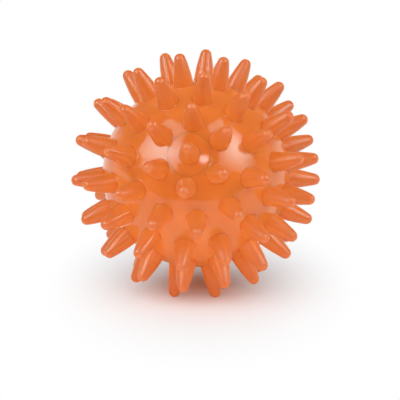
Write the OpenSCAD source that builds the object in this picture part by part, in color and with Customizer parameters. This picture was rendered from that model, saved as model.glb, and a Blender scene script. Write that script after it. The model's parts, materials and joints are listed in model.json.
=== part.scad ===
// Spiky sensory ball of soft moulded plastic. Two half shells are bonded at a lapped seam into a
// hollow ball. Rows of round-ended spikes stand on the skin, in circles round the axis of the
// filling plug, which closes the front half and carries a spike of its own.
// The ball stands on the floor (z = 0) on four spike tips, with its plug facing the front (-Y)
// and a little upwards. The origin is on the floor, under the middle of the ball.

/* [Ball] */
// Diameter of the skin, without its spikes
body_diameter = 59; // [54:0.5:90]
// Thickness of the skin
wall = 2.5; // [2:0.1:4]
// Length of the lap where the half shells are bonded
seam_lap = 2; // [1:0.25:4]
// Gap that the adhesive fills between bonded faces
bond_gap = 0.1; // [0.05:0.05:0.2]

/* [Spikes] */
// Length of a spike, from the skin to its tip
spike_length = 10; // [7:0.5:16]
// Diameter of a spike's round tip
spike_tip_diameter = 3.6; // [2.4:0.1:4.6]
// Diameter of a spike where it meets the skin
spike_root_diameter = 6.4; // [5:0.1:7]
// Radius of the bow in a spike's side
spike_bow_radius = 50; // [30:5:200]
// Spikes in the row next to each pole
row_1_count = 6; // [4:1:7]
// Spikes in the second row from each pole
row_2_count = 11; // [8:1:14]
// Spikes in the third row from each pole
row_3_count = 15; // [10:1:18]
// Spikes in the row next to the seam
row_4_count = 18; // [12:1:22]
// Angle round the plug where the front rows start, from straight down towards the right
front_start = -124; // [-180:1:180]
// Least skin between the plug's hole and the first row of spikes
plug_land = 0.1; // [0.1:0.1:1]

/* [Filling plug] */
// Diameter of the plug's head
plug_diameter = 13; // [11:0.5:14.5]
// Gap round the plug's head
plug_gap = 0.25; // [0.15:0.05:0.4]
// Thickness of the ledge under the rim of the plug's head
seat_ledge = 1.2; // [0.8:0.1:1.6]
// Diameter of the stem over its sealing rings
stem_diameter = 6; // [5:0.5:7]
// Length of the stem
stem_length = 8; // [6:0.5:12]
// Gap between the sealing rings and the sleeve
stem_gap = 0.05; // [0.02:0.01:0.1]
// Height of the sealing rings over the stem
ring_height = 0.35; // [0.2:0.05:0.6]
// Width of a sealing ring
ring_width = 1; // [0.5:0.1:1.5]
// Number of sealing rings
ring_count = 3; // [1:1:3]

/* [Valve sleeve] */
// Wall of the sleeve's tube
sleeve_wall = 1.5; // [1:0.1:2]
// How far the tube runs past the end of the stem
sleeve_margin = 1; // [0.5:0.5:3]
// Diameter of the sleeve's flange
flange_diameter = 16; // [14:0.5:24]
// Thickness of the sleeve's flange
flange_thickness = 1.2; // [0.8:0.1:2]

/* [Hidden] */
$fn = 96;
ORANGE = [0.90, 0.45, 0.20];
DEEP_ORANGE = [0.86, 0.38, 0.14];
PALE_ORANGE = [0.93, 0.60, 0.38];

// Skin
body_r = body_diameter / 2;
inner_r = body_r - wall;
lap_r = body_r - wall / 2;

// Plug, seat and sleeve, along the plug's axis from the middle of the ball
plug_r = plug_diameter / 2;
seat_r = plug_r + plug_gap;
seat_y = circle_y(inner_r, seat_r) + seat_ledge;
stem_r = stem_diameter / 2;
bore_r = stem_r + stem_gap;
sleeve_r = bore_r + sleeve_wall;
sleeve_length = stem_length + sleeve_margin;
ring_pitch = stem_length / (ring_count + 1);

// Spike profile: a bowed side that runs smoothly into a round tip
tip_r = spike_tip_diameter / 2;
root_r = spike_root_diameter / 2;
tip_y = body_r + spike_length - tip_r;
root_y = circle_y(body_r, root_r);
bow_centre = circles_meet([root_r, root_y], spike_bow_radius, [0, tip_y], spike_bow_radius - tip_r);
root_turn = turn_from(bow_centre, [root_r, root_y]);
tip_turn = turn_from(bow_centre, [0, tip_y]);
side_steps = 6;
tip_steps = 8;
landing_cut = 1.2;

// Rows, by their angle from the nearer pole
row_counts = [row_1_count, row_2_count, row_3_count, row_4_count];
row_total = len(row_counts);
even_pitch = 180 / (2 * row_total + 1);
first_row = max(even_pitch, asin((seat_r + root_r + plug_land) / body_r));
last_row = 90 - even_pitch / 2;

// Stance: the two lowest spikes of rear rows 3 and 4 stand on the floor, each pair straddling the
// vertical plane through the plug's axis, so the four tips share one level
low_angle = 180 - row_angle(3);
high_angle = 180 - row_angle(4);
low_out = sin(low_angle) * cos(180 / row_3_count);
high_out = sin(high_angle) * cos(180 / row_4_count);
down_angle = atan2(cos(high_angle) - cos(low_angle), low_out - high_out);
foot_drop = sin(down_angle) * high_out + cos(down_angle) * cos(high_angle);
centre_height = tip_y * foot_drop + tip_r;

// Height of a circle round the middle of the ball, at a distance from the plug's axis
function circle_y(r, x) = sqrt(r * r - x * x);

// Angle of a row from the nearer pole: the rows are evenly spaced from the first to the last
function row_angle(row) = first_row + (row - 1) * (last_row - first_row) / (row_total - 1);

// The point where two circles meet, to the left of the way from one centre to the other
function circles_meet(p, p_r, q, q_r) =
  let (
    apart = norm(q - p),
    along = (apart * apart + p_r * p_r - q_r * q_r) / (2 * apart),
    way = (q - p) / apart
  )
  p + along * way + circle_y(p_r, along) * [-way[1], way[0]];

// Angle above the horizontal from one point to another
function turn_from(p, q) = atan2(q[1] - p[1], q[0] - p[0]);

// A point on a circle, part of the way from one angle to another
function arc_point(centre, r, from, to, part) =
  let (turn = from + (to - from) * part) centre + r * [cos(turn), sin(turn)];

// Turns the plug's axis from +Z to the front and sets the ball on the floor
module stand() {
  translate([0, 0, centre_height]) rotate([180 - down_angle, 0, 0]) children();
}

// Right half of a ring round the middle of the ball, between two heights
module ring_band(outer, inner, low, high) {
  intersection() {
    difference() {
      circle(r = outer);
      circle(r = inner);
    }
    translate([0, low]) square([body_r, high - low]);
  }
}

// Half of a spike's outline, from its flat foot to its tip
module spike_outline() {
  side = [for (i = [0 : side_steps])
    arc_point(bow_centre, spike_bow_radius, root_turn, tip_turn, i / side_steps)];
  tip = [for (i = [1 : tip_steps]) arc_point([0, tip_y], tip_r, tip_turn, 90, i / tip_steps)];
  polygon(concat([[0, root_y]], side, tip));
}

// One spike, pointing along +Z
module spike() {
  rotate_extrude() spike_outline();
}

// Cuts the flat landing that a spike's foot covers. The skin falls away round it, so the landing is
// as wide as the foot, and its cutter is a little wider
module landing() {
  translate([0, 0, root_y]) cylinder(r = landing_cut * root_r, h = wall);
}

// Repeats what stands on the +Z axis round the plug's axis
module in_circle(angle, count, start) {
  for (i = [0 : count - 1]) rotate([0, angle, start + i * 360 / count]) children();
}

// The places of a row of the front half, counted from the plug
module front_row(row) {
  in_circle(row_angle(row), row_counts[row - 1], front_start - 90) children();
}

// The places of a row of the rear half, counted from the rear pole
module rear_row(row) {
  half_step = 180 / row_counts[row - 1];
  in_circle(180 - row_angle(row), row_counts[row - 1], half_step - 90) children();
}

module at_rear_pole() {
  rotate([180, 0, 0]) children();
}

module front_half_shell() {
  color(ORANGE) stand() difference() {
    rotate_extrude() difference() {
      union() {
        ring_band(body_r, inner_r, 0, body_r);
        ring_band(lap_r, inner_r, -seam_lap, body_r);
      }
      translate([0, seat_y]) square([seat_r, body_r]);
      square([sleeve_r + bond_gap, body_r]);
    }
    for (row = [1 : row_total]) front_row(row) landing();
  }
}

module rear_half_shell() {
  color(ORANGE) stand() difference() {
    rotate_extrude() difference() {
      ring_band(body_r, inner_r, -body_r, 0);
      ring_band(lap_r + bond_gap, inner_r - wall, -seam_lap - bond_gap, body_r);
    }
    for (row = [1 : row_total]) rear_row(row) landing();
    at_rear_pole() landing();
  }
}

module valve_sleeve() {
  flange_r = inner_r - bond_gap;
  color(PALE_ORANGE) stand() rotate_extrude() difference() {
    union() {
      intersection() {
        ring_band(flange_r, flange_r - flange_thickness, 0, body_r);
        square([flange_diameter / 2, body_r]);
      }
      translate([0, seat_y - sleeve_length]) square([sleeve_r, sleeve_length]);
    }
    square([bore_r, body_r]);
  }
}

module filling_plug() {
  color(DEEP_ORANGE) stand() rotate_extrude() {
    intersection() {
      circle(r = body_r);
      translate([0, seat_y]) square([plug_r, body_r]);
    }
    spike_outline();
    translate([0, seat_y - stem_length]) square([stem_r - ring_height, stem_length]);
    for (i = [1 : ring_count])
      translate([0, seat_y - i * ring_pitch - ring_width / 2]) square([stem_r, ring_width]);
  }
}

module front_spikes(row) {
  color(ORANGE) stand() front_row(row) spike();
}

module rear_spikes(row) {
  color(ORANGE) stand() rear_row(row) spike();
}

module rear_pole_spike() {
  color(ORANGE) stand() at_rear_pole() spike();
}

front_half_shell();
rear_half_shell();
valve_sleeve();
filling_plug();
front_spikes(1);  // front_spikes_row_1
front_spikes(2);  // front_spikes_row_2
front_spikes(3);  // front_spikes_row_3
front_spikes(4);  // front_spikes_row_4
rear_spikes(1);  // rear_spikes_row_1
rear_spikes(2);  // rear_spikes_row_2
rear_spikes(3);  // rear_spikes_row_3
rear_spikes(4);  // rear_spikes_row_4
rear_pole_spike();
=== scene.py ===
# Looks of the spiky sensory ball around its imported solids: two moulded half skins, the filling plug
# and the valve sleeve, on a pale floor under soft studio light.

import json
import math

import bmesh
import bpy
from mathutils import Matrix, Vector


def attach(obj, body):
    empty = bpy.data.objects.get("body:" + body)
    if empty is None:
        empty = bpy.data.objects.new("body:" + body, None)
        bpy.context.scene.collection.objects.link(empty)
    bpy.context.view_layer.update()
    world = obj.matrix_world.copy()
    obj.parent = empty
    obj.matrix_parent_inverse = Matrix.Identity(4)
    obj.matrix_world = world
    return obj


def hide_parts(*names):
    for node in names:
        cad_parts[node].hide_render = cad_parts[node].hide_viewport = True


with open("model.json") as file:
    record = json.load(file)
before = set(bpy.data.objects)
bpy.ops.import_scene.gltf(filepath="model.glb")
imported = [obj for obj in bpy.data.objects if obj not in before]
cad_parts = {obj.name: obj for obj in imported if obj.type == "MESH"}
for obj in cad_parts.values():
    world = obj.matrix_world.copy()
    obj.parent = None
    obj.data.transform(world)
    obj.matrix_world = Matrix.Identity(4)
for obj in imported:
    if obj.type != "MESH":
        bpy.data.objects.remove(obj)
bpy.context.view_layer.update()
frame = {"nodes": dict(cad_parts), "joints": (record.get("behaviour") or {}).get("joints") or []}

QUARTER = math.pi / 2

# Sizes of the ball in millimetres, as its solids have them. Heights run along the plug's axis, from
# the middle of the ball
MM = 0.001
BODY_R = 29.5
WALL = 2.5
INNER_R = BODY_R - WALL
LAP_R = BODY_R - WALL / 2
SEAM_LAP = 2.0
BOND_GAP = 0.1
SPIKE_LENGTH = 10.0
TIP_R = 1.8
ROOT_R = 3.2
BOW_R = 50.0
PLUG_R = 6.5
PLUG_GAP = 0.25
SEAT_R = PLUG_R + PLUG_GAP
SEAT_LEDGE = 1.2
STEM_R = 3.0
STEM_LENGTH = 8.0
STEM_GAP = 0.05
RING_HEIGHT = 0.35
RING_WIDTH = 1.0
RING_COUNT = 3
SHANK_R = STEM_R - RING_HEIGHT
SLEEVE_WALL = 1.5
SLEEVE_HOLE_R = STEM_R + STEM_GAP + SLEEVE_WALL + BOND_GAP

# Rows of spikes, counted from the plug or from the rear pole, and the angle round the axis where each
# row starts: a gap of each rear row faces down
ROW_COUNTS = (6, 11, 15, 18)
ROWS = range(1, len(ROW_COUNTS) + 1)
ROW_STEP = math.radians(20)
STRAIGHT_DOWN = -QUARTER
FRONT_TURN = math.radians(-124)
FRONT_STARTS = [STRAIGHT_DOWN + FRONT_TURN] * len(ROW_COUNTS)
REAR_STARTS = [STRAIGHT_DOWN + math.pi / count for count in ROW_COUNTS]

# Soft edges that the solids leave sharp, and the gap that is left round the lip of the plug
ROOT_FILLET = 0.2
TIGHT_FILLET = 0.1
SEAM_ROUND = 0.1
PLUG_ROUND = 0.02
RING_ROUND = 0.15
LIP_GAP = 0.03

# Fineness of the meshes, and what is welded and shaded smooth in them
SPIKE_SIDES = 32
FILLET_STEPS = 4
SIDE_STEPS = 5
TIP_STEPS = 6
PATCH_CUTS = 2
ROUND_STEPS = 4
SPHERE_STEPS = 14
PLUG_SIDES = 96
ZONE_GAP = math.radians(1)
WELD = 0.002
SHARP_ANGLE = math.radians(40)
NORMAL_WEIGHT = 100


def circle_height(radius, out):
    """Height of a circle round the middle of the ball at a distance from the axis."""
    return math.sqrt(radius * radius - out * out)


def circles_meet(first, first_r, second, second_r):
    """The point where two circles meet, to the left of the way from the first centre to the second."""
    way = second - first
    along = (way.length_squared + first_r * first_r - second_r * second_r) / (2 * way.length)
    way.normalize()
    return first + along * way + circle_height(first_r, along) * Vector((-way.y, way.x))


def turn_of(way):
    """Angle of a direction in an outline's plane."""
    return math.atan2(way.y, way.x)


def direction(polar, azimuth):
    """Unit vector at an angle from the plug's axis and an angle round it."""
    out = math.sin(polar)
    return Vector((out * math.cos(azimuth), out * math.sin(azimuth), math.cos(polar)))


# Where the ball's parts lie
MIDDLE = Vector((0, 0))
ROOT = Vector((ROOT_R, circle_height(BODY_R, ROOT_R)))
TIP_CENTRE = Vector((0, BODY_R + SPIKE_LENGTH - TIP_R))
BOW_CENTRE = circles_meet(ROOT, BOW_R, TIP_CENTRE, BOW_R - TIP_R)
LIP_R = SEAT_R - LIP_GAP
SEAT_HEIGHT = circle_height(INNER_R, SEAT_R) + SEAT_LEDGE
SEAM_POLAR = math.acos(SEAM_ROUND / (BODY_R - SEAM_ROUND))
HOLE_POLAR = math.asin((SEAT_R + PLUG_ROUND) / (BODY_R - PLUG_ROUND))
LIP_POLAR = math.asin((LIP_R - PLUG_ROUND) / (BODY_R - PLUG_ROUND))


def ball_stance():
    """Matrix that turns the plug's axis from +Z to the front, sets the ball on its lowest tips and turns
    millimetres into metres."""
    axis = Vector(frame["joints"][0]["axis"])
    turn = Matrix.Rotation(math.atan2(-axis.y, axis.z), 4, "X")
    rear = [
        turn @ direction(math.pi - ROW_STEP * row, start + math.tau * i / count)
        for row, count, start in zip(ROWS, ROW_COUNTS, REAR_STARTS)
        for i in range(count)
    ]
    centre_height = TIP_R - TIP_CENTRE.y * min(spike.z for spike in rear)
    return Matrix.Scale(MM, 4) @ Matrix.Translation((0, 0, centre_height)) @ turn


STANCE = ball_stance()
BALL_CENTRE = STANCE.translation


# Outlines, as (distance from the axis, height) points


def arc(centre, radius, start, end, steps):
    """Points along a circle, both ends included."""
    turns = [start + (end - start) * i / steps for i in range(steps + 1)]
    return [
        Vector((centre[0] + radius * math.cos(turn), centre[1] + radius * math.sin(turn)))
        for turn in turns
    ]


def spike_outline(fillet):
    """A spike from the foot of its fillet on the skin, up its bowed side, to its tip."""
    centre = circles_meet(BOW_CENTRE, BOW_R + fillet, MIDDLE, BODY_R + fillet)
    tip_turn = turn_of(TIP_CENTRE - BOW_CENTRE)
    root = arc(centre, fillet, turn_of(-centre), turn_of(BOW_CENTRE - centre), FILLET_STEPS)
    side = arc(BOW_CENTRE, BOW_R, turn_of(centre - BOW_CENTRE), tip_turn, SIDE_STEPS)
    tip = arc(TIP_CENTRE, TIP_R, tip_turn, QUARTER, TIP_STEPS)
    return root + side[1:] + tip[1:]


def skin_edge(radius, polar, end):
    """A rounded edge of the skin, from where it leaves the ball's surface."""
    centre = (BODY_R - radius) * Vector((math.sin(polar), math.cos(polar)))
    return arc(centre, radius, QUARTER - polar, end, ROUND_STEPS)


def plug_outline():
    """The plug from the tip of its spike, over its head and down its stem to the stem's end."""
    spike = spike_outline(ROOT_FILLET)[::-1]
    head = arc(MIDDLE, BODY_R, turn_of(spike[-1]), QUARTER - LIP_POLAR, ROUND_STEPS)
    rim = skin_edge(PLUG_ROUND, LIP_POLAR, 0)
    stem = [Vector((PLUG_R, SEAT_HEIGHT)), Vector((SHANK_R, SEAT_HEIGHT))]
    pitch = STEM_LENGTH / (RING_COUNT + 1)
    for i in range(1, RING_COUNT + 1):
        middle = SEAT_HEIGHT - i * pitch
        for out, up in (
            (SHANK_R, RING_WIDTH / 2),
            (STEM_R - RING_ROUND, RING_WIDTH / 2),
            (STEM_R, RING_WIDTH / 2 - RING_ROUND),
            (STEM_R, RING_ROUND - RING_WIDTH / 2),
            (STEM_R - RING_ROUND, -RING_WIDTH / 2),
            (SHANK_R, -RING_WIDTH / 2),
        ):
            stem.append(Vector((out, middle + up)))
    end = SEAT_HEIGHT - STEM_LENGTH
    foot = arc((SHANK_R - RING_ROUND, end + RING_ROUND), RING_ROUND, 0, -QUARTER, ROUND_STEPS)
    return spike + head[1:] + rim[1:] + stem + foot + [Vector((0, end))]


# Meshes and objects


def mesh_from(bm, name):
    """A mesh of what has been built, which ends the building."""
    mesh = bpy.data.meshes.new(name)
    bm.to_mesh(mesh)
    bm.free()
    return mesh


def add_object(name, data):
    """An object in the scene."""
    made = bpy.data.objects.new(name, data)
    bpy.context.scene.collection.objects.link(made)
    return made


def lathe(bm, outline, sides):
    """Spins an outline round the axis."""
    points = [bm.verts.new((out, 0, up)) for out, up in outline]
    lines = [bm.edges.new(pair) for pair in zip(points, points[1:])]
    bmesh.ops.spin(
        bm,
        geom=points + lines,
        cent=(0, 0, 0),
        axis=(0, 0, 1),
        angle=math.tau,
        steps=sides,
        use_merge=True,
    )
    bmesh.ops.remove_doubles(bm, verts=bm.verts, dist=WELD)


def spike_mesh(fillet):
    """One spike on the axis, open where its fillet meets the skin."""
    bm = bmesh.new()
    lathe(bm, spike_outline(fillet), SPIKE_SIDES)
    return mesh_from(bm, "spike")


def square_wave(turn):
    """One coordinate of a point that goes round a square of half side 1 as the angle goes round."""
    away = abs(math.remainder(turn, math.tau)) / (math.pi / 4)
    return max(-1.0, min(1.0, 2.0 - away))


def patch_border(polar, half_polar, azimuth, half_azimuth):
    """Function that goes round the border of a four-sided patch of skin, by the angle round its middle."""

    def border(turn):
        return polar + half_polar * square_wave(turn), azimuth + half_azimuth * square_wave(turn - QUARTER)

    return border


def grow_patch(bm, spike, polar, azimuth, border):
    """Stands a spike on the skin and extrudes its foot out to the border of its patch. Returns the edges
    from the foot to the border."""
    known = len(bm.verts)
    bm.from_mesh(spike)
    bm.verts.ensure_lookup_table()
    made = bm.verts[known:]
    foot = dict.fromkeys(edge for vert in made for edge in vert.link_edges if edge.is_boundary)
    grown = bmesh.ops.extrude_edge_only(bm, edges=list(foot))["geom"]
    rim = [part for part in grown if isinstance(part, bmesh.types.BMVert)]
    for vert in rim:
        vert.co = BODY_R * direction(*border(math.atan2(vert.co.y, vert.co.x)))
    upright = Matrix.Rotation(azimuth, 4, "Z") @ Matrix.Rotation(polar, 4, "Y")
    bmesh.ops.transform(bm, matrix=upright, verts=made)
    on_rim = set(rim)
    return [edge for vert in rim for edge in vert.link_edges if edge.other_vert(vert) not in on_rim]


def grow_row(bm, spike, polar, count, start, near, far):
    """A circle of spikes, each on its own patch of skin between two angles from the pole."""
    spokes = []
    for i in range(count):
        azimuth = start + math.tau * i / count
        border = patch_border((near + far) / 2, (far - near) / 2, azimuth, math.pi / count)
        spokes += grow_patch(bm, spike, polar, azimuth, border)
    return spokes


def edge_ring(bm, polar):
    """The open edges that lie at an angle from the pole."""
    height = BODY_R * math.cos(polar)
    return [
        edge
        for edge in bm.edges
        if edge.is_boundary and all(abs(vert.co.z - height) < WELD for vert in edge.verts)
    ]


def draw_rings(bm, ring, outline):
    """Extrudes a ring of edges along an outline and returns the last ring."""
    for out, up in outline:
        grown = bmesh.ops.extrude_edge_only(bm, edges=ring)["geom"]
        for vert in grown:
            if isinstance(vert, bmesh.types.BMVert):
                flat = vert.co.xy.normalized() * out
                vert.co = (flat.x, flat.y, up)
        ring = [edge for edge in grown if isinstance(edge, bmesh.types.BMEdge) and edge.is_boundary]
    return ring


def spiked_skin(bm, starts, has_hole):
    """Outside of a half shell, with the pole on +Z: zones of patches, one to a row, bridged to each other.
    At the pole there is the hole for the plug or one more spike."""
    roomy = spike_mesh(ROOT_FILLET)
    borders = [ROW_STEP * (row - 0.5) for row in ROWS]
    nears = [border + ZONE_GAP / 2 for border in borders]
    fars = [border - ZONE_GAP / 2 for border in borders[1:]] + [SEAM_POLAR]
    spikes = [roomy] * len(ROW_COUNTS)
    spokes = []
    if has_hole:
        nears[0] = HOLE_POLAR
        spikes[0] = spike_mesh(TIGHT_FILLET)
    else:
        spokes += grow_patch(bm, roomy, 0, 0, lambda turn: (borders[0] - ZONE_GAP / 2, turn))
    for row, spike, count, start, near, far in zip(ROWS, spikes, ROW_COUNTS, starts, nears, fars):
        spokes += grow_row(bm, spike, ROW_STEP * row, count, start, near, far)
    cuts = bmesh.ops.subdivide_edges(bm, edges=spokes, cuts=PATCH_CUTS, use_grid_fill=True)
    for part in cuts["geom_inner"]:
        if isinstance(part, bmesh.types.BMVert):
            part.co = BODY_R * part.co.normalized()
    bmesh.ops.remove_doubles(bm, verts=bm.verts, dist=WELD)
    for border in borders:
        rings = edge_ring(bm, border - ZONE_GAP / 2), edge_ring(bm, border + ZONE_GAP / 2)
        if all(rings):
            bmesh.ops.bridge_loops(bm, edges=rings[0] + rings[1])


def front_skin():
    """Front half shell, with the hole and the seat of the plug and the tongue of the seam."""
    bm = bmesh.new()
    spiked_skin(bm, FRONT_STARTS, has_hole=True)
    seat = skin_edge(PLUG_ROUND, HOLE_POLAR, math.pi)[1:] + [
        Vector((SEAT_R, SEAT_HEIGHT)),
        Vector((SLEEVE_HOLE_R, SEAT_HEIGHT)),
        Vector((SLEEVE_HOLE_R, circle_height(INNER_R, SLEEVE_HOLE_R))),
    ]
    tongue = skin_edge(SEAM_ROUND, SEAM_POLAR, -QUARTER)[1:] + [
        Vector((LAP_R, 0)),
        Vector((LAP_R, -SEAM_LAP)),
    ]
    lap_turn = math.asin(SEAM_LAP / INNER_R)
    hole_turn = math.acos(SEAT_R / INNER_R)
    inside = arc(MIDDLE, INNER_R, -lap_turn, hole_turn, SPHERE_STEPS)
    hole_ring = draw_rings(bm, edge_ring(bm, HOLE_POLAR), seat)
    seam_ring = draw_rings(bm, edge_ring(bm, SEAM_POLAR), tongue + inside)
    bmesh.ops.bridge_loops(bm, edges=hole_ring + seam_ring)
    return bm


def rear_skin():
    """Rear half shell, with the groove of the seam, made pole up and then mirrored."""
    bm = bmesh.new()
    spiked_skin(bm, REAR_STARTS, has_hole=False)
    groove_r = LAP_R + BOND_GAP
    groove_end = SEAM_LAP + BOND_GAP
    groove = skin_edge(SEAM_ROUND, SEAM_POLAR, -QUARTER)[1:] + [
        Vector((groove_r, 0)),
        Vector((groove_r, groove_end)),
    ]
    inside = arc(MIDDLE, INNER_R, math.asin(groove_end / INNER_R), QUARTER, SPHERE_STEPS)
    draw_rings(bm, edge_ring(bm, SEAM_POLAR), groove + inside)
    bmesh.ops.scale(bm, vec=(1, 1, -1), verts=bm.verts)
    return bm


def plug_lathe():
    """The filling plug with its spike."""
    bm = bmesh.new()
    lathe(bm, plug_outline(), PLUG_SIDES)
    return bm


def make_piece(name, bm, material, body, nodes):
    """Sets a mesh in place as a piece that rides on a body and stands for the part's nodes."""
    bmesh.ops.remove_doubles(bm, verts=bm.verts, dist=WELD)
    bmesh.ops.recalc_face_normals(bm, faces=bm.faces)
    bmesh.ops.transform(bm, matrix=STANCE, verts=bm.verts)
    mesh = mesh_from(bm, name)
    mesh.shade_smooth()
    mesh.set_sharp_from_angle(angle=SHARP_ANGLE)
    mesh.materials.append(material)
    piece = add_object(name, mesh)
    even = piece.modifiers.new("even_normals", "WEIGHTED_NORMAL")
    even.keep_sharp = True
    even.weight = NORMAL_WEIGHT
    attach(piece, body)
    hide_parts(*nodes)
    return piece


# Nodes of materials

# Sockets of a Mix node that mixes colours
MIX_FACTOR = 0
MIX_FIRST = 6
MIX_SECOND = 7
MIX_RESULT = 2

WHITE = (1, 1, 1, 1)


def set_sockets(tree, node, sockets):
    """Links each input of a node to a socket or sets it to a value."""
    for key, value in sockets.items():
        if isinstance(value, bpy.types.NodeSocket):
            tree.links.new(value, node.inputs[key])
        else:
            node.inputs[key].default_value = value


def add_node(tree, kind, sockets=None, **settings):
    """A node with its settings and its inputs."""
    made = tree.nodes.new(kind)
    for name, value in settings.items():
        setattr(made, name, value)
    set_sockets(tree, made, sockets or {})
    return made


def calculate(tree, operation, *values):
    """Result of a sum on a few values."""
    return add_node(tree, "ShaderNodeMath", dict(enumerate(values)), operation=operation).outputs[0]


def length_of(tree, vector):
    """Length of a vector."""
    return add_node(tree, "ShaderNodeVectorMath", {0: vector}, operation="LENGTH").outputs["Value"]


def noise(tree, place, scale, detail):
    """Values of a cloudy pattern."""
    sockets = {"Vector": place, "Scale": scale, "Detail": detail}
    return add_node(tree, "ShaderNodeTexNoise", sockets).outputs["Fac"]


def remap(tree, value, source, target=(0.0, 1.0), style="LINEAR"):
    """Carries a value from one range to another and keeps it in there."""
    sockets = {
        "Value": value,
        "From Min": source[0],
        "From Max": source[1],
        "To Min": target[0],
        "To Max": target[1],
    }
    return add_node(tree, "ShaderNodeMapRange", sockets, interpolation_type=style).outputs["Result"]


def from_oval(tree, place, middle, half_sizes, turn=0.0):
    """Place measured from the middle of an oval, as a vector of length 1 on the oval's edge."""
    sockets = {
        "Vector": place,
        "Location": (*middle, 0),
        "Rotation": (0, 0, turn),
        "Scale": (*half_sizes, 1),
    }
    return add_node(tree, "ShaderNodeMapping", sockets, vector_type="TEXTURE").outputs["Vector"]


def mix_colours(tree, share, first, second, blend="MIX"):
    """Colour between two others."""
    sockets = {MIX_FACTOR: share, MIX_FIRST: first, MIX_SECOND: second}
    return add_node(tree, "ShaderNodeMix", sockets, data_type="RGBA", blend_type=blend).outputs[MIX_RESULT]


def mix_shaders(tree, share, first, second):
    """Shader between two others."""
    return add_node(tree, "ShaderNodeMixShader", {0: share, 1: first, 2: second}).outputs[0]


def glow(tree, strength, colour=WHITE):
    """Shader that gives off light."""
    return add_node(tree, "ShaderNodeEmission", {"Color": colour, "Strength": strength}).outputs[0]


def in_gloss(tree, path):
    """1 for what is mirrored or seen through something, and 0 for the rest."""
    return calculate(tree, "MAXIMUM", path["Is Glossy Ray"], path["Is Transmission Ray"])


# Plastics

# Most of each plastic, its paler clouds, and the darker tips of its spikes, which are painted shade
SKIN = (0.81, 0.23, 0.041)
SKIN_CLOUD = (0.83, 0.249, 0.049)
PLUG = (0.80, 0.225, 0.040)
PLUG_CLOUD = (0.82, 0.244, 0.048)
# Painted shade: spike tips darker and redder than the skin, offsetting the extra light the spikes catch
SPIKE_TIP_PAINTED_SHADE = (0.735, 0.2, 0.047)
SLEEVE = (0.83, 0.28, 0.085)
SLEEVE_CLOUD = (0.85, 0.32, 0.11)

# Roughness from the least handled places to the most handled
GLOSSY = (0.05, 0.09)
MATT = (0.35, 0.5)

# The spikes' painted sheen, a lighter and yellower tint, and their duller gloss, which are full at a rise
# of so many millimetres over the skin
ROOT_RISE = 0.5
# Painted sheen: the spikes are tinted lighter and yellower than the skin
PAINTED_SHEEN_TINT = (1.0, 1.11, 1.13, 1)
SPIKE_DULLING = 0.24

# Patterns, as waves to the metre and layers of detail, and the values of two that span their effect
CLOUD_NOISE = (70.0, 3.0)
CLOUD_SPAN = (0.35, 0.7)
HANDLED_NOISE = (260.0, 4.0)
HANDLED_SPAN = (0.3, 0.7)
GRAIN_NOISE = (2200.0, 2.0)
SINK_NOISE = (320.0, 1.0)
GRAIN_SHARE = 0.15
BUMP_STRENGTH = 0.03
BUMP_DISTANCE = 0.0004

# How light enters the plastic and how far each colour of it spreads there, in millimetres
PLASTIC_IOR = 1.5
SCATTER = 0.8
SCATTER_BY_COLOUR = (1.0, 0.6, 0.4)


def detail_and_painted_light_group():
    """What soft moulded plastic shows, with painted light: clouds in its colour, spikes with a painted
    sheen (a lighter, yellower tint) and duller gloss, tips darkened and reddened as painted shade, handled
    patches in the gloss, and the sink marks and fine grain of the mould."""
    group = bpy.data.node_groups.new("detail_and_painted_light", "ShaderNodeTree")
    for name, kind in (
        ("Plastic Colour", "NodeSocketColor"),
        ("Cloud Colour", "NodeSocketColor"),
        ("Painted Sheen", "NodeSocketColor"),
        ("Tip Painted Shade", "NodeSocketColor"),
        ("Gloss Low", "NodeSocketFloat"),
        ("Gloss High", "NodeSocketFloat"),
        ("Spike Dulling", "NodeSocketFloat"),
    ):
        group.interface.new_socket(name, in_out="INPUT", socket_type=kind)
    for name, kind in (
        ("Colour", "NodeSocketColor"),
        ("Roughness", "NodeSocketFloat"),
        ("Height", "NodeSocketFloat"),
    ):
        group.interface.new_socket(name, in_out="OUTPUT", socket_type=kind)
    values = add_node(group, "NodeGroupInput").outputs
    place = add_node(group, "ShaderNodeTexCoord").outputs["Object"]
    from_centre = add_node(group, "ShaderNodeVectorMath", {0: place, 1: BALL_CENTRE}, operation="SUBTRACT")
    reach = length_of(group, from_centre.outputs[0])
    root_share, tip_share = [
        remap(group, reach, (BODY_R * MM, (BODY_R + rise) * MM), style="SMOOTHSTEP")
        for rise in (ROOT_RISE, SPIKE_LENGTH)
    ]
    cloud_share = remap(group, noise(group, place, *CLOUD_NOISE), CLOUD_SPAN)
    clouded = mix_colours(group, cloud_share, values["Plastic Colour"], values["Cloud Colour"])
    # Painted sheen: the spikes lighter and yellower than the skin
    with_painted_sheen = mix_colours(group, root_share, clouded, values["Painted Sheen"], "MULTIPLY")
    # Painted shade: darker, redder spike tips
    colour = mix_colours(group, tip_share, with_painted_sheen, values["Tip Painted Shade"])
    gloss_range = (values["Gloss Low"], values["Gloss High"])
    gloss = remap(group, noise(group, place, *HANDLED_NOISE), HANDLED_SPAN, gloss_range)
    dulled = calculate(group, "MULTIPLY_ADD", root_share, values["Spike Dulling"], gloss)
    grain = noise(group, place, *GRAIN_NOISE)
    height = calculate(group, "MULTIPLY_ADD", grain, GRAIN_SHARE, noise(group, place, *SINK_NOISE))
    add_node(group, "NodeGroupOutput", {"Colour": colour, "Roughness": dulled, "Height": height})
    return group


DETAIL_AND_PAINTED_LIGHT = detail_and_painted_light_group()


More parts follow.
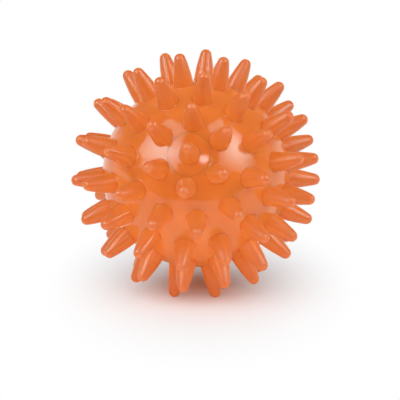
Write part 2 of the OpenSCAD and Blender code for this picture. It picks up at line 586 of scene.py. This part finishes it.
def soft_plastic(name, plastic, cloud, tip, gloss):
    """Glossy, slightly see-through soft plastic."""
    material = bpy.data.materials.new(name)
    material.use_nodes = True
    tree = material.node_tree
    # The group paints a sheen on the spikes and paints shade at their tips
    detail = add_node(
        tree,
        "ShaderNodeGroup",
        {
            "Plastic Colour": (*plastic, 1),
            "Cloud Colour": (*cloud, 1),
            "Painted Sheen": PAINTED_SHEEN_TINT,
            "Tip Painted Shade": (*tip, 1),
            "Gloss Low": gloss[0],
            "Gloss High": gloss[1],
            "Spike Dulling": SPIKE_DULLING,
        },
        node_tree=DETAIL_AND_PAINTED_LIGHT,
    ).outputs
    bump = add_node(
        tree,
        "ShaderNodeBump",
        {"Height": detail["Height"], "Strength": BUMP_STRENGTH, "Distance": BUMP_DISTANCE},
    )
    set_sockets(
        tree,
        tree.nodes["Principled BSDF"],
        {
            "Base Color": detail["Colour"],
            "Roughness": detail["Roughness"],
            "Normal": bump.outputs["Normal"],
            "IOR": PLASTIC_IOR,
            "Subsurface Weight": 1.0,
            "Subsurface Radius": SCATTER_BY_COLOUR,
            "Subsurface Scale": SCATTER * MM,
        },
    )
    return material


skin_plastic = soft_plastic("orange_skin", SKIN, SKIN_CLOUD, SPIKE_TIP_PAINTED_SHADE, GLOSSY)
plug_plastic = soft_plastic("orange_plug", PLUG, PLUG_CLOUD, SPIKE_TIP_PAINTED_SHADE, GLOSSY)
sleeve_plastic = soft_plastic("pale_sleeve", SLEEVE, SLEEVE_CLOUD, SLEEVE, MATT)

# Pieces

front_nodes = ["front_half_shell"] + [f"front_spikes_row_{row}" for row in ROWS]
rear_nodes = ["rear_half_shell", "rear_pole_spike"] + [f"rear_spikes_row_{row}" for row in ROWS]
pieces = [
    make_piece("front_half_skin", front_skin(), skin_plastic, "ball", front_nodes),
    make_piece("rear_half_skin", rear_skin(), skin_plastic, "ball", rear_nodes),
    make_piece("spiked_plug", plug_lathe(), plug_plastic, "plug", ["filling_plug"]),
]

sleeve = frame["nodes"]["valve_sleeve"]
sleeve.data.materials.clear()
sleeve.data.materials.append(sleeve_plastic)

# Camera, at the photograph's angle: angles in degrees, distance in metres, lens in millimetres

CAMERA_AZIMUTH = 4.36
CAMERA_ELEVATION = 8.85
CAMERA_DISTANCE = 0.7117
CAMERA_LENS = 202.8
AIM_RIGHT = 1.24 * MM
AIM_DOWN = 8.28 * MM


def seen_from(azimuth, elevation):
    """Unit vector from the ball towards a viewer: azimuth 0 stands in front of the plug."""
    across = math.radians(azimuth)
    up = math.radians(elevation)
    return Vector((math.sin(across) * math.cos(up), -math.cos(across) * math.cos(up), math.sin(up)))


def add_camera():
    """The camera, aimed a little right of the ball and below it, as the photograph frames it."""
    back = seen_from(CAMERA_AZIMUTH, CAMERA_ELEVATION)
    right = Vector((0, 0, 1)).cross(back).normalized()
    up = back.cross(right)
    lens = bpy.data.cameras.new("camera")
    lens.lens = CAMERA_LENS
    camera = add_object("camera", lens)
    camera.location = BALL_CENTRE + CAMERA_DISTANCE * back
    aim = BALL_CENTRE + AIM_RIGHT * right - AIM_DOWN * up
    camera.rotation_euler = (aim - camera.location).to_track_quat("-Z", "Y").to_euler()
    bpy.context.scene.camera = camera


add_camera()

# Softboxes that the gloss shows, in metres and degrees from the middle of the ball

LEFT_SIDE = -49
RIGHT_SIDE = 59
FACE_DISTANCE = 0.6
COOL_WHITE = (0.66, 1, 1, 1)

# The two tall faces: their strength at the foot, from a height on, and in the middle of the core
TALL_FOOT = 0.085
TALL_TOP = 1.48
TALL_DIM = 0.6
TALL_EVEN = 2.3
TALL_EVEN_FROM = 0.4
TALL_BRIGHT = 8.0
CORE_UP = 0.41
CORE_HALF_HEIGHT = 0.42
LEFT_WIDTH = 0.72
LEFT_CORE_ACROSS = 0.05
LEFT_CORE_HALF_WIDTH = 0.5
RIGHT_WIDTH = 0.56
RIGHT_CORE_ACROSS = 0.03
RIGHT_CORE_HALF_WIDTH = 0.3

# The small face, which is all core
SMALL_SIDE = 14.5
SMALL_UP = 0.29
SMALL_HALF_WIDTH = 0.14
SMALL_HALF_HEIGHT = 0.1
SMALL_BRIGHT = 10.0


def face_material(name, colour, core_middle, core_halves, dim, even, bright):
    """A softbox's face: bright in the middle of its core, an even glow round that, and dim at its foot. The
    core is an oval, given by its middle and by its half width and half height."""
    material = bpy.data.materials.new(name)
    material.use_nodes = True
    tree = material.node_tree
    tree.nodes.clear()
    place = add_node(tree, "ShaderNodeTexCoord").outputs["Object"]
    upward = add_node(tree, "ShaderNodeSeparateXYZ", {"Vector": place}).outputs["Y"]
    around = remap(tree, upward, (TALL_FOOT, TALL_EVEN_FROM), (dim, even))
    from_core = from_oval(tree, place, core_middle, core_halves)
    core = add_node(tree, "ShaderNodeTexGradient", {"Vector": from_core}, gradient_type="SPHERICAL")
    strength = remap(tree, core.outputs["Fac"], (0, 1), (around, bright), "SMOOTHSTEP")
    add_node(tree, "ShaderNodeOutputMaterial", {"Surface": glow(tree, strength, colour)})
    return material


def add_face(name, azimuth, width, foot, top, material):
    """The upright face of a softbox, by its heights over the ball's middle. Only reflections show it."""
    bm = bmesh.new()
    bmesh.ops.create_grid(bm, x_segments=1, y_segments=1, size=1)
    bmesh.ops.scale(bm, vec=(width / 2, (top - foot) / 2, 1), verts=bm.verts)
    bmesh.ops.translate(bm, vec=(0, (top + foot) / 2, 0), verts=bm.verts)
    mesh = mesh_from(bm, name)
    mesh.materials.append(material)
    face = add_object(name, mesh)
    face.visible_camera = False
    face.visible_diffuse = False
    face.visible_transmission = False
    face.visible_shadow = False
    toward = seen_from(azimuth, 0)
    face.location = BALL_CENTRE + FACE_DISTANCE * toward
    face.rotation_euler = toward.to_track_quat("Z", "Y").to_euler()


for side, azimuth, width, core_across, core_half_width in (
    ("left", LEFT_SIDE, LEFT_WIDTH, LEFT_CORE_ACROSS, LEFT_CORE_HALF_WIDTH),
    ("right", RIGHT_SIDE, RIGHT_WIDTH, RIGHT_CORE_ACROSS, RIGHT_CORE_HALF_WIDTH),
):
    tall_face = face_material(
        f"{side}_face",
        COOL_WHITE,
        core_middle=(core_across, CORE_UP),
        core_halves=(core_half_width, CORE_HALF_HEIGHT),
        dim=TALL_DIM,
        even=TALL_EVEN,
        bright=TALL_BRIGHT,
    )
    add_face(f"{side}_softbox", azimuth, width, TALL_FOOT, TALL_TOP, tall_face)
small_face = face_material(
    "small_face",
    WHITE,
    core_middle=(0, SMALL_UP),
    core_halves=(SMALL_HALF_WIDTH, SMALL_HALF_HEIGHT),
    dim=0,
    even=0,
    bright=SMALL_BRIGHT,
)
small_foot = SMALL_UP - SMALL_HALF_HEIGHT
small_top = SMALL_UP + SMALL_HALF_HEIGHT
add_face("small_softbox", SMALL_SIDE, 2 * SMALL_HALF_WIDTH, small_foot, small_top, small_face)

# Lamps for the ball and for the floor: name, azimuth, elevation, size in metres and brightness

LAMP_DISTANCE = 0.8
FRONT_SIDE = 4
BALL_LAMP_SIZE = 0.9
BALL_LAMPS = (
    ("left_lamp", LEFT_SIDE, 39, BALL_LAMP_SIZE, 1.53),
    ("right_lamp", RIGHT_SIDE, 39, BALL_LAMP_SIZE, 1.53),
    ("front_fill", FRONT_SIDE, -15, BALL_LAMP_SIZE, 1.38),
    ("back_left_fill", -140, 15, BALL_LAMP_SIZE, 1.3),
    ("back_right_fill", 140, 15, BALL_LAMP_SIZE, 1.3),
    ("back_top_fill", FRONT_SIDE + 180, 60, BALL_LAMP_SIZE, 1.0),
    ("low_left_fill", -60, -35, BALL_LAMP_SIZE, 1.35),
    ("low_right_fill", 66, -35, BALL_LAMP_SIZE, 1.35),
    ("under_fill", FRONT_SIDE, -65, BALL_LAMP_SIZE, 3.8),
)
FLOOR_LAMPS = (
    ("front_floor_lamp", FRONT_SIDE, 28, 0.5, 4.2),
    ("top_floor_lamp", FRONT_SIDE, 88, 0.9, 0.7),
    ("left_floor_lamp", LEFT_SIDE, 38, 0.72, 2.4),
    ("right_floor_lamp", RIGHT_SIDE, 38, 0.6, 1.7),
)

ball_only = bpy.data.collections.new("ball_only")
for piece in (*pieces, sleeve):
    ball_only.objects.link(piece)
floor_only = bpy.data.collections.new("floor_only")


def add_lamp(name, azimuth, elevation, size, radiance, lit):
    """A soft square lamp for the things in one collection. The ball alone casts shadows in its light, and
    reflections show the faces of the softboxes instead of it."""
    lamp = bpy.data.lights.new(name, "AREA")
    lamp.size = size
    lamp.energy = math.pi * size * size * radiance
    holder = add_object(name, lamp)
    holder.visible_glossy = False
    holder.light_linking.receiver_collection = lit
    holder.light_linking.blocker_collection = ball_only
    toward = seen_from(azimuth, elevation)
    holder.location = BALL_CENTRE + LAMP_DISTANCE * toward
    holder.rotation_euler = toward.to_track_quat("Z", "Y").to_euler()


for lamps, lit in ((BALL_LAMPS, ball_only), (FLOOR_LAMPS, floor_only)):
    for lamp in lamps:
        add_lamp(*lamp, lit)

# Floor, in metres from the point under the ball

FLOOR_HALF_SIDE = 6.0
FLOOR_ROUGHNESS = 0.6

# Paper that light bounces off, in two tones and with the pattern of its clouds, and the rosier white
# that the eye sees of it
PAPER = (0.68, 0.68, 0.68, 1)
PALE_PAPER = (0.71, 0.71, 0.71, 1)
PAPER_NOISE = (6.0, 2.0)
ROSY_WHITE = (0.75, 0.72, 0.728, 1)

# The oval round the shadow where the eye sees the floor turn white
SHADOW_MIDDLE = (0, 0.02)
SHADOW_HALVES = (0.053, 0.135)
SHADOW_TURN = math.radians(4.36)

# In the gloss: where the floor turns white, where it ends in front, and how dark it is beyond
MIRRORED_WHITE = (0.015, 0.045)
FLOOR_EDGE = -0.105
DARK_SIDE = 0.02


def floor_material():
    """A pale floor that keeps the ball's shadow. It turns white for the eye away from the shadow, and in
    the gloss away from the ball. In the gloss it also ends a little way in front of the ball."""
    material = bpy.data.materials.new("pale_floor")
    material.use_nodes = True
    tree = material.node_tree
    shader = tree.nodes["Principled BSDF"]
    path = add_node(tree, "ShaderNodeLightPath").outputs
    place = add_node(tree, "ShaderNodeTexCoord").outputs["Object"]
    paper = mix_colours(tree, noise(tree, place, *PAPER_NOISE), PAPER, PALE_PAPER)
    colour = mix_colours(tree, path["Is Camera Ray"], paper, ROSY_WHITE)
    looks = {"Base Color": colour, "Roughness": FLOOR_ROUGHNESS, "Specular IOR Level": 0}
    set_sockets(tree, shader, looks)
    from_shadow = from_oval(tree, place, SHADOW_MIDDLE, SHADOW_HALVES, SHADOW_TURN)
    off_shadow = remap(tree, length_of(tree, from_shadow), (0, 1), style="SMOOTHSTEP")
    off_ball = remap(tree, length_of(tree, place), MIRRORED_WHITE, style="SMOOTHSTEP")
    seen_white = calculate(tree, "MULTIPLY", path["Is Camera Ray"], off_shadow)
    mirrored_white = calculate(tree, "MULTIPLY", in_gloss(tree, path), off_ball)
    whitened = calculate(tree, "MAXIMUM", seen_white, mirrored_white)
    depth = add_node(tree, "ShaderNodeSeparateXYZ", {"Vector": place}).outputs["Y"]
    in_front = calculate(tree, "LESS_THAN", depth, FLOOR_EDGE)
    cut_off = calculate(tree, "MULTIPLY", path["Is Glossy Ray"], in_front)
    pale = mix_shaders(tree, whitened, shader.outputs[0], glow(tree, 1.0))
    shown = mix_shaders(tree, cut_off, pale, glow(tree, DARK_SIDE))
    tree.links.new(shown, tree.nodes["Material Output"].inputs["Surface"])
    return material


def add_floor():
    """A wide pale floor."""
    bm = bmesh.new()
    bmesh.ops.create_grid(bm, x_segments=1, y_segments=1, size=FLOOR_HALF_SIDE)
    mesh = mesh_from(bm, "floor")
    mesh.materials.append(floor_material())
    floor = add_object("floor", mesh)
    floor_only.objects.link(floor)


add_floor()

# World, by the height and the depth of a direction: where the room's white back fades at its top, how
# bright it is below and above that, and where the dark front turns into the back

ROOM_TOP = (0.1, 0.4)
ROOM_TOP_FADE = (1.0, 0.1)
ROOM_BACK = (-0.2, 0.5)
WORLD_FILL = 0.12


def light_world():
    """White for the eye, white behind the ball and dark in front of it for the gloss, and a weak fill for
    everything else."""
    world = bpy.data.worlds.new("studio")
    world.use_nodes = True
    bpy.context.scene.world = world
    tree = world.node_tree
    path = add_node(tree, "ShaderNodeLightPath").outputs
    view = add_node(tree, "ShaderNodeTexCoord").outputs["Generated"]
    along = add_node(tree, "ShaderNodeSeparateXYZ", {"Vector": view}).outputs
    behind = remap(tree, along["Z"], ROOM_TOP, ROOM_TOP_FADE, "SMOOTHSTEP")
    room = remap(tree, along["Y"], ROOM_BACK, (DARK_SIDE, behind), "SMOOTHSTEP")
    unseen = remap(tree, in_gloss(tree, path), (0, 1), (WORLD_FILL, room))
    strength = calculate(tree, "MAXIMUM", path["Is Camera Ray"], unseen)
    set_sockets(tree, tree.nodes["Background"], {"Color": WHITE, "Strength": strength})


light_world()

bpy.context.scene.view_settings.view_transform = "Standard"
